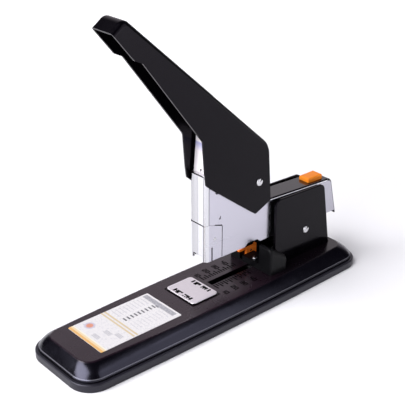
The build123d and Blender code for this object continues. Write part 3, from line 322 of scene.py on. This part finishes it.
def plunger_nickel():
    """Satin nickel with an upright grain; the cool band near the plunger's top is a painted reflection."""
    finish = Finish("plunger_nickel", (0.78, 0.75, 0.77), roughness=0.4, metallic=0.6)
    grain = finish.noise(scale=400.0, detail=3.0, stretch=(1.0, 1.0, 0.1))
    height = finish.along(Z)
    # the band comes up over 6 mm and ends over 1 mm
    band = finish.product(finish.rise(height, plunger_top - 0.0145, plunger_top - 0.0085),
                          finish.fall(height, plunger_top - 0.0080, plunger_top - 0.0070))
    plain = finish.mix(grain, (0.74, 0.71, 0.73), (0.86, 0.82, 0.84))
    finish.set(Base_Color=finish.mix(band, plain, (0.42, 0.42, 0.66)))
    return finish.grain(grain, roughness=(0.34, 0.48), relief=0.05)


def bright_steel():
    """Zinc-plated small steel parts with a slightly uneven sheen."""
    finish = Finish("bright_steel", (0.62, 0.62, 0.64), roughness=0.28, metallic=1.0)
    mottle = finish.noise(scale=150.0, detail=3.0)
    finish.set(Base_Color=finish.mix(mottle, (0.55, 0.55, 0.57), (0.70, 0.70, 0.71)))
    return finish.grain(finish.noise(scale=900.0, detail=3.0), roughness=(0.2, 0.36), relief=0.05)


def anvil_nickel():
    """Satin nickel on the anvil's face; its cut edges and the floors of its pockets are dark with painted
    shade.
    """
    finish = Finish("satin_nickel", (0.95, 0.91, 0.94), roughness=0.38, metallic=0.9)
    grain = finish.noise(scale=500.0, detail=4.0)
    # painted shade: all below the face, from 0.3 to 0.5 mm down, goes dark
    dark_below, bright_above = anvil_high[Z] - 0.0005, anvil_high[Z] - 0.0003
    face = finish.rise(finish.along(Z), dark_below, bright_above)
    plain = finish.mix(grain, (0.88, 0.84, 0.87), (0.99, 0.95, 0.98))
    finish.set(Base_Color=finish.mix(face, (0.02, 0.018, 0.02), plain))
    return finish.grain(grain, roughness=(0.32, 0.46), relief=0.08)


def black_plastic():
    """Moulded black plastic with a fine spark-eroded texture."""
    finish = Finish("black_plastic", (0.003, 0.003, 0.0038), roughness=0.34)
    mottle = finish.noise(scale=80.0, detail=3.0)
    finish.set(Base_Color=finish.mix(mottle, (0.0025, 0.0025, 0.003), (0.004, 0.004, 0.0048)),
               Specular_IOR_Level=0.12)
    return finish.grain(finish.noise(scale=1800.0, detail=3.0), roughness=(0.27, 0.42), relief=0.12)


def orange_plastic(name, first, second, glow=0.0):
    """Moulded orange plastic, semi-gloss, with flow clouding and a fine grain.

    A little glow lifts the guide's lever, which lies in deeper shade here than in the photograph.
    """
    finish = Finish(name, first, roughness=0.36)
    finish.set(Base_Color=finish.mix(finish.noise(scale=120.0, detail=3.0), first, second),
               Specular_IOR_Level=0.15, Subsurface_Weight=0.05, Subsurface_Scale=0.002,
               Emission_Color=second, Emission_Strength=glow)
    return finish.grain(finish.noise(scale=1500.0, detail=3.0), roughness=(0.3, 0.44), relief=0.1)


def rubber():
    """Matt black rubber with a dusty grain."""
    finish = Finish("rubber", (0.025, 0.025, 0.025), roughness=0.8)
    grain = finish.noise(scale=1200.0, detail=4.0)
    finish.set(Base_Color=finish.mix(grain, (0.018, 0.018, 0.018), (0.036, 0.035, 0.034)))
    return finish.grain(grain, roughness=(0.7, 0.9), relief=0.3, depth=0.0002)


def staple_wire():
    """Galvanised staple wire, each staple a little different."""
    finish = Finish("staple_wire", (0.55, 0.55, 0.56), roughness=0.3, metallic=1.0)
    bands = finish.noise(scale=700.0, detail=1.0, stretch=(1.0, 0.02, 0.02))
    finish.set(Base_Color=finish.mix(bands, (0.45, 0.45, 0.47), (0.66, 0.66, 0.67)))
    return finish.grain(bands, roughness=(0.22, 0.4), relief=0.1)


def printed_label():
    """White sheet with a generic print.

    It has orange bars, a pale double line, rows of ticks, a heading, blocks of lines and a round sign.
    """
    front = label_low[X]
    half = (label_high[Y] - label_low[Y]) / 2
    finish = Finish("printed_label", (0.5, 0.49, 0.49), roughness=0.4)
    fibre = finish.noise(scale=900.0, detail=4.0)
    rows = finish.noise(scale=900.0, detail=3.0, stretch=(1.6, 0.55, 1.0))
    small_print = finish.span(rows, (0.52, 0.66), (0.0, 0.55))
    face = finish.mix(fibre, (0.615, 0.595, 0.585), (0.66, 0.65, 0.64))
    face = finish.mix(small_print, face, (0.34, 0.34, 0.40))

    def print_bars(under, bars):
        """Bars of ink: colour, start behind the front edge, width, low and high side, strength."""
        for colour, start, width, y_low, y_high, strength in bars:
            bar = finish.rectangle(front + start, front + start + width, y_low, y_high)
            under = finish.mix(finish.product(bar, strength), under, colour)
        return under

    face = print_bars(face, (((0.67, 0.65, 0.56), 0.0040, 0.0012, -half, half, 1.0),
                             ((0.66, 0.53, 0.33), 0.0022, 0.0018, -half, half, 1.0),
                             ((0.63, 0.37, 0.13), 0.0, 0.0022, -half, half, 1.0),
                             ((0.53, 0.42, 0.24), 0.0292, 0.0016, -half * 0.95, half, 0.9),
                             ((0.53, 0.42, 0.24), 0.0322, 0.0016, -half * 0.95, half, 0.9)))
    tick_start, tick_pitch, tick_count = 0.0375, 0.0034, 9
    for count in range(tick_count):
        start = tick_start + count * tick_pitch
        face = print_bars(face, (((0.06, 0.06, 0.07), start, 0.0014, 0.0002, 0.0046, 0.9),
                                 ((0.26, 0.26, 0.30), start, 0.0007, 0.0080, 0.0180, 0.4),
                                 ((0.26, 0.26, 0.30), start, 0.0007, -0.0145, -0.0045, 0.3)))

    lettering = finish.span(rows, (0.48, 0.58), (0.0, 0.7))
    heading = finish.mix(lettering, (0.20, 0.20, 0.22), (0.42, 0.42, 0.44))
    heading_band = finish.rectangle(front + 0.0678, front + 0.0722, -0.0172, 0.0190)
    heading_strength = 0.85
    face = finish.mix(finish.product(heading_band, heading_strength), face, heading)
    face = print_bars(face, (((0.08, 0.08, 0.10), 0.0668, 0.0012, -0.0012, 0.0026, 0.8),))

    block_lines, line_pitch, line_half_length = 3, 0.0013, 0.0036
    # blocks of lines: start behind the front edge, middle across the sheet
    for start, middle in ((0.0075, -0.0015), (0.0205, -0.0120), (0.0165, -0.0035)):
        face = print_bars(face, [((0.20, 0.20, 0.24), start + line * line_pitch, 0.0007,
                                  middle - line_half_length, middle + line_half_length, 0.6)
                                 for line in range(block_lines)])

    sign_middle = (front + 0.0139, 0.0130, label_high[Z])
    reach = finish.distance(sign_middle)
    ring = finish.span(reach, (0.0036, 0.0048), (0.7, 0.0))
    disc = finish.span(reach, (0.0022, 0.0032), (0.9, 0.0))
    face = finish.mix(ring, face, (0.38, 0.35, 0.46))
    face = finish.mix(disc, face, (0.56, 0.22, 0.12))
    finish.set(Base_Color=face, Specular_IOR_Level=0.3)
    return finish.grain(fibre, roughness=(0.34, 0.48), relief=0.05)


def dull_ink_and_shade():
    """Dull black of the printed strokes, of the dark seams, and of the painted shade and painted reflections:
    the slot's fill, the line round the anvil and the wedges on the rivet heads.
    """
    finish = Finish("ink_and_painted_shade", (0.0015, 0.0015, 0.0015), roughness=0.7)
    grain = finish.noise(scale=2000.0, detail=2.0)
    return finish.set(Base_Color=finish.mix(grain, (0.001, 0.001, 0.001), (0.003, 0.0025, 0.0025)),
                      Roughness=finish.swing(grain, (0.6, 0.8)), Specular_IOR_Level=0.02)


def studio_floor():
    """Plain pale floor.

    It gives off light away from the object, so that it stays white in the distance.
    """
    finish = Finish("floor", (0.80, 0.80, 0.80), roughness=0.6)
    cloud = finish.noise(scale=3.0, detail=3.0)
    far_from_object, glow_range = (0.3, 1.5), (0.04, 0.8)
    glow = finish.span(finish.distance((0.0, 0.0, 0.0)), far_from_object, glow_range)
    return finish.set(Base_Color=finish.mix(cloud, (0.79, 0.79, 0.79), (0.82, 0.82, 0.82)),
                      Specular_IOR_Level=0.1, Emission_Color=(1.0, 1.0, 1.0), Emission_Strength=glow)


steel = bright_steel()
ink_and_shade = dull_ink_and_shade()

slot_finish = {
    "gloss_black_steel": black_enamel("panel_enamel", specular=0.125, roughness=0.18).set(
        Specular_Tint=(0.93, 0.86, 1.0)),
    "tray_plastic": tray_grey(),
    "chrome_steel": chrome_plate(),
    "bright_steel": steel,
    "black_plastic": black_plastic(),
    "orange_plastic": orange_plastic("orange_plastic", (0.72, 0.20, 0.012), (0.80, 0.235, 0.018)),
    "rubber": rubber(),
    "paper": printed_label(),
}
node_finish = {
    "base_cover": base_enamel(),
    "top_cover": strip_enamel(),
    "plunger": plunger_nickel(),
    "anvil_plate": anvil_nickel(),
    "guide_lever": orange_plastic("orange_lever", (0.95, 0.20, 0.02), (1.0, 0.24, 0.03), glow=0.12),
    "staple_strip": staple_wire(),
}

for part in frame["record"]["subparts"]:
    node_name = part["node"]
    node_look = node_finish.get(node_name, slot_finish[part["material_slot"]])
    for material_slot in frame["nodes"][node_name].material_slots:
        material_slot.material = node_look.material


# ---------------------------------------------------------------- building helpers

mark_thickness = 0.00004


def add_object(name, data):
    """A new object in the scene."""
    added = bpy.data.objects.new(name, data)
    bpy.context.scene.collection.objects.link(added)
    return added


def build_mesh(name, build):
    """A mesh from a function that fills a bmesh."""
    mesh = bpy.data.meshes.new(name)
    work = bmesh.new()
    build(work)
    work.to_mesh(mesh)
    work.free()
    return mesh


def new_piece(name, build, finish, body):
    """A mesh piece that rides on a body."""
    piece = add_object(name, build_mesh(name, build))
    piece.data.materials.append(finish.material)
    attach(piece, body)


def add_block(work, low, high):
    """A box from corner to corner."""
    size = [b - a for a, b in zip(low, high)]
    middle = [(a + b) / 2 for a, b in zip(low, high)]
    matrix = Matrix.Translation(middle) @ Matrix.Diagonal((*size, 1.0))
    bmesh.ops.create_cube(work, size=1.0, matrix=matrix)


def add_mark(work, x_low, x_high, y_low, y_high, level):
    """A flat printed stroke lying on a level face."""
    add_block(work, (x_low, min(y_low, y_high), level), (x_high, max(y_low, y_high), level + mark_thickness))


def add_prism(work, corners, y_low, y_high):
    """A flat plate from its corners in the side view, between two places across."""
    layers = [[work.verts.new((x, y, z)) for x, z in corners] for y in (y_low, y_high)]
    for ring in layers:
        work.faces.new(ring)
    for index in range(len(corners)):
        after = (index + 1) % len(corners)
        work.faces.new((layers[0][index], layers[0][after], layers[1][after], layers[1][index]))
    bmesh.ops.recalc_face_normals(work, faces=work.faces)


# ---------------------------------------------------------------- scale beside the guide's slot

ruler_start = 0.003  # the first stroke's x
ruler_pitch = 0.0025
ruler_count = 15
ruler_line = 0.0006  # half a stroke's width
ruler_short = 0.6  # length of every second stroke, as a share of the others
ruler_rows = ((-1, 0.0036, 0.0066), (1, 0.0072, 0.0056))  # side, distance from the middle, a stroke's length
number_pitch = 0.010
number_count = 4
number_sides = (-0.0142, 0.0200)  # the left side of each row's numbers, read from the front
digit_width = 0.0021
digit_height = 0.0034
digit_line = 0.0009
digit_pitch = 1.7 * digit_width

# strokes of a digit: left, foot, right and head, as shares of its width and height
strokes = {
    "top": (0, 1, 1, 1),
    "middle": (0, 0.5, 1, 0.5),
    "bottom": (0, 0, 1, 0),
    "upper_left": (0, 0.5, 0, 1),
    "upper_right": (1, 0.5, 1, 1),
    "lower_left": (0, 0, 0, 0.5),
    "lower_right": (1, 0, 1, 0.5),
}
digits = {
    "0": ("top", "bottom", "upper_left", "upper_right", "lower_left", "lower_right"),
    "1": ("upper_right", "lower_right"),
    "2": ("top", "upper_right", "middle", "lower_left", "bottom"),
    "3": ("top", "upper_right", "middle", "lower_right", "bottom"),
    "4": ("upper_left", "upper_right", "middle", "lower_right"),
}


def add_digit(work, digit, x, y):
    """A digit read from the front: its foot at x, its left side at y."""
    for stroke in digits[digit]:
        left, foot, right, head = strokes[stroke]
        add_mark(work, x + foot * digit_height, x + head * digit_height + digit_line,
                 y - left * digit_width, y - right * digit_width - digit_line, plateau)


def ruler_marks(work):
    """Graduations on both sides of the slot: strokes square to it, and the numbers 10 to 40."""
    for side, nearest, reach in ruler_rows:
        for count in range(ruler_count):
            x = ruler_start + count * ruler_pitch
            length = reach if count % 2 == 0 else reach * ruler_short
            add_mark(work, x - ruler_line, x + ruler_line, side * nearest, side * (nearest + length), plateau)
    for count in range(number_count):
        x = ruler_start + count * number_pitch - digit_height / 2
        for y in number_sides:
            for place, digit in enumerate(f"{count + 1}0"):
                add_digit(work, digit, x, y - place * digit_pitch)


# ---------------------------------------------------------------- anvil

anvil_end_reach = 0.0094  # from the plate's middle to the middle of each end's marks
# marks of one end: low and high x from the end's middle, low and high y
anvil_side_marks = ((-0.0020, 0.0020, 0.0083, 0.0101), (0.0003, 0.0017, 0.0012, 0.0070))
anvil_single_marks = ((-0.0026, -0.0002, 0.0038, 0.0068), (-0.0020, -0.0008, -0.0022, -0.0010),
                      (-0.0020, -0.0008, -0.0044, -0.0032), (-0.0020, -0.0008, -0.0066, -0.0054))


def anvil_marks(work):
    """Dark bars, dashes and dots on the anvil plate's face, alike at both ends."""
    plate_middle = (anvil_low[X] + anvil_high[X]) / 2
    for end in (-1, 1):
        x = plate_middle + end * anvil_end_reach
        for side in (-1, 1):
            for x_low, x_high, inner, outer in anvil_side_marks:
                add_mark(work, x + x_low, x + x_high, side * inner, side * outer, anvil_high[Z])
        for x_low, x_high, y_low, y_high in anvil_single_marks:
            add_mark(work, x + x_low, x + x_high, y_low, y_high, anvil_high[Z])


def anvil_painted_shadow_line(work):
    """Painted shadow: a dark line round the anvil, where its edges shade the top."""
    gap, width = 0.0001, 0.0009
    x_low, x_high = anvil_low[X] - gap, anvil_high[X] + gap
    y_low, y_high = anvil_low[Y] - gap, anvil_high[Y] + gap
    for x in (x_low - width, x_high):
        add_mark(work, x, x + width, y_low - width, y_high + width, plateau)
    for y in (y_low - width, y_high):
        add_mark(work, x_low, x_high, y, y + width, plateau)


# ---------------------------------------------------------------- arm's front and rivets

def side_seams_and_slot_shade(work):
    """Dark lines on both sides of the arm.

    They are the sloped seam over the nose plate, the upright seam behind it, the slot in it, dark with
    painted shade, and two short strokes above it.
    """
    sunk = 0.0004  # the lines' depth in the wall
    bottom = nose_low[Z] + 0.0002
    rear_top = nose_high[Z] - 0.0046  # the plate's top slopes down to here at its rear edge
    slope_length, slope_rise, seam_front_top, seam_rear_width = 0.0076, 0.0026, 0.0034, 0.0011
    slope_start = nose_rear - slope_length
    slope = ((slope_start, rear_top + slope_rise), (nose_rear, rear_top),
             (nose_rear, rear_top + seam_rear_width), (slope_start, rear_top + seam_front_top))
    seam_start, seam_end = nose_rear - 0.0001, nose_rear + 0.0005
    slot_start, slot_end, slot_height = nose_front + 0.0056, nose_front + 0.0067, 0.0114
    stroke_start, stroke_end, stroke_shift = nose_rear - 0.0032, nose_rear - 0.0026, 0.0012
    stroke_foot, stroke_head = rear_top + 0.0062, rear_top + 0.0078
    for side in (-1, 1):
        y_low, y_high = sorted((side * (nose_half_width - sunk), side * (nose_half_width + mark_thickness)))
        add_prism(work, slope, y_low, y_high)
        add_block(work, (seam_start, y_low, bottom), (seam_end, y_high, rear_top))
        # painted shade: a dark block filling the slot
        add_block(work, (slot_start, y_low, bottom), (slot_end, y_high, bottom + slot_height))
        for shift in (0.0, stroke_shift):
            add_block(work, (stroke_start + shift, y_low, stroke_foot),
                      (stroke_end + shift, y_high, stroke_head + shift))


def front_lines(work):
    """Dark lines on the arm's front: two edges of a small window, the nose plate's top and the arm's rim."""
    ahead = nose_front - mark_thickness
    window_sunk, window_line = 0.0002, 0.0007
    window_foot, window_top = nose_low[Z] + 0.0010, nose_low[Z] + 0.0036
    add_block(work, (ahead, 0.0022, window_top), (nose_front + window_sunk, 0.0054, window_top + window_line))
    add_block(work, (ahead, 0.0050, window_foot), (nose_front + window_sunk, 0.0058, window_top))
    line_sunk, line_width = 0.0004, 0.0009
    y_low, y_high = -nose_half_width + 0.0030, nose_half_width - 0.0012
    for level in (nose_high[Z] - 0.0013, arm_top - line_width):
        add_block(work, (ahead, y_low, level), (nose_front + line_sunk, y_high, level + line_width))


def nose_seams_and_slot_shade(work):
    """All dark lines round the arm's front, with the painted shade in the slot, as one piece."""
    side_seams_and_slot_shade(work)
    front_lines(work)


def rivet_painted_reflections(node):
    """A building function for a painted reflection: a dark wedge on each head of a through rivet.

    Seen from the near side, the wedge runs from the head's middle up and to the right.
    """
    low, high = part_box(node)
    middle_x, middle_z = (low[X] + high[X]) / 2, (low[Z] + high[Z]) / 2
    radius = (high[X] - low[X]) / 2
    corners = [(middle_x, middle_z)]
    for degrees in (36.0, 53.0, 70.0):  # the wedge's arc, from the level
        angle = math.radians(degrees)
        corners.append((middle_x + radius * math.cos(angle), middle_z + radius * math.sin(angle)))

    def build(work):
        for side in (-1, 1):
            add_prism(work, corners, *sorted((side * high[Y], side * (high[Y] + mark_thickness))))
    return build


# seams, with painted shade in the nose's slot
new_piece("nose_seams_and_slot_shade", nose_seams_and_slot_shade, ink_and_shade, "arm")
# painted reflections: a dark wedge on each rivet head
new_piece("pivot_rivet_painted_reflections", rivet_painted_reflections("pivot_pin"), ink_and_shade, "base")
new_piece("handle_rivet_painted_reflections", rivet_painted_reflections("handle_pin"), ink_and_shade, "arm")
new_piece("ruler_marks", ruler_marks, ink_and_shade, "base")
# painted shadow: a dark line round the anvil
new_piece("anvil_painted_shadow_line", anvil_painted_shadow_line, ink_and_shade, "base")
new_piece("anvil_marks", anvil_marks, ink_and_shade, "anvil")


# ---------------------------------------------------------------- springs

def squeezed_spring(node, body):
    """A copy of the CAD node's coil, in steel, riding on the body in place of the node, which is hidden."""
    original = frame["nodes"][node]
    coil = add_object(f"{node}_coil", original.data.copy())
    coil.matrix_world = original.matrix_world.copy()
    coil.data.materials.clear()
    coil.data.materials.append(steel.material)
    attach(coil, body)
    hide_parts(node)
    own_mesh(coil)


along_x, along_z = (1.0, 0.0, 0.0), (0.0, 0.0, 1.0)
# node, body, joint, axis, fixed end (0 for the box's low corner, 1 for its high one), and the share of the
# length that is kept at the joint's limit
for spring_node, spring_body, spring_joint, spring_axis, end, kept in (
        ("lift_spring", "base", "arm_hinge", along_z, 0, 0.80),
        ("plunger_spring", "arm", "plunger_slide", along_z, 0, 0.565),
        ("pusher_spring", "arm", "pusher_slide", along_x, 1, 0.277),
        ("button_spring", "arm", "button_press", along_z, 0, 0.60)):
    squeezed_spring(spring_node, spring_body)


# ---------------------------------------------------------------- floor, light, camera

floor_half_size = 6.0
lit_point = (0.0, 0.0, 0.06)
key_white = (0.96, 0.95, 1.0)
cool_white = (0.93, 0.92, 1.0)
dark_wall = (0.030, 0.028, 0.042)
pale_wall = (0.84, 0.78, 0.84)
camera_place = (-0.42506, -0.47801, 0.40006)
camera_azimuth = math.radians(-41.308)
camera_elevation = math.radians(25.871)
camera_lens = 83.32


def studio_ground():
    """A level floor under the object."""
    floor = add_object("floor", build_mesh("floor", lambda work: bmesh.ops.create_grid(
        work, x_segments=1, y_segments=1, size=floor_half_size)))
    floor.data.materials.append(studio_floor().material)


def area_light(name, place, target, size, power, colour):
    """A soft rectangular light that faces a point."""
    data = bpy.data.lights.new(name, "AREA")
    data.shape = "RECTANGLE"
    data.size, data.size_y = size
    data.energy = power
    data.color = colour
    light = add_object(name, data)
    light.location = place
    light.rotation_euler = (Vector(target) - Vector(place)).to_track_quat("-Z", "Y").to_euler()


def sun_light(name, direction, strength, angle):
    """Even light from one direction, given as the way towards the light."""
    data = bpy.data.lights.new(name, "SUN")
    data.energy = strength
    data.angle = angle
    light = add_object(name, data)
    light.rotation_euler = Vector(direction).to_track_quat("Z", "Y").to_euler()


def studio_world():
    """A pale wall at the back right, dark walls elsewhere and a dark ceiling."""
    world = bpy.data.worlds.new("studio")
    world.use_nodes = True
    sky = Nodes(world.node_tree, "Generated")
    corner = sky.product(sky.rise(sky.along(X), -0.15, 0.30, "SMOOTHSTEP"),
                         sky.rise(sky.along(Y), -0.10, 0.30, "SMOOTHSTEP"))
    wall = sky.product(corner, sky.fall(sky.along(Z), 0.58, 0.72, "SMOOTHSTEP"))
    background = world.node_tree.nodes["Background"]
    sky.plug(sky.mix(wall, dark_wall, pale_wall), background.inputs["Color"])
    sky.plug(1.0, background.inputs["Strength"])
    bpy.context.scene.world = world


def camera():
    """Long lens, high on the near front corner, framed as a product picture."""
    level = math.cos(camera_elevation)
    back = Vector((math.sin(camera_azimuth) * level, -math.cos(camera_azimuth) * level,
                   math.sin(camera_elevation)))
    right = Vector((math.cos(camera_azimuth), math.sin(camera_azimuth), 0.0))
    up = back.cross(right)
    data = bpy.data.cameras.new("camera")
    data.sensor_width = 36.0
    data.lens = camera_lens
    data.clip_start = 0.01
    rig = add_object("camera", data)
    rig.matrix_world = Matrix.Translation(camera_place) @ Matrix((right, up, back)).transposed().to_4x4()
    bpy.context.scene.camera = rig


studio_ground()
studio_world()
area_light("key", place=(-2.4, 0.3, 1.95), target=lit_point, size=(3.6, 3.0), power=210.0, colour=key_white)
area_light("right", place=(0.24, -0.62, 0.31), target=(0.20, 0.0, 0.1), size=(0.54, 0.60), power=1.5,
           colour=cool_white)
area_light("upper_right", place=(0.33, -0.62, 0.76), target=(0.0, 0.0, 0.0), size=(0.40, 0.34), power=0.26,
           colour=cool_white)
sun_light("fill", direction=(-0.75, 0.1, 0.65), strength=1.15, angle=math.radians(50.0))
camera()
bpy.context.scene.view_settings.view_transform = "Standard"
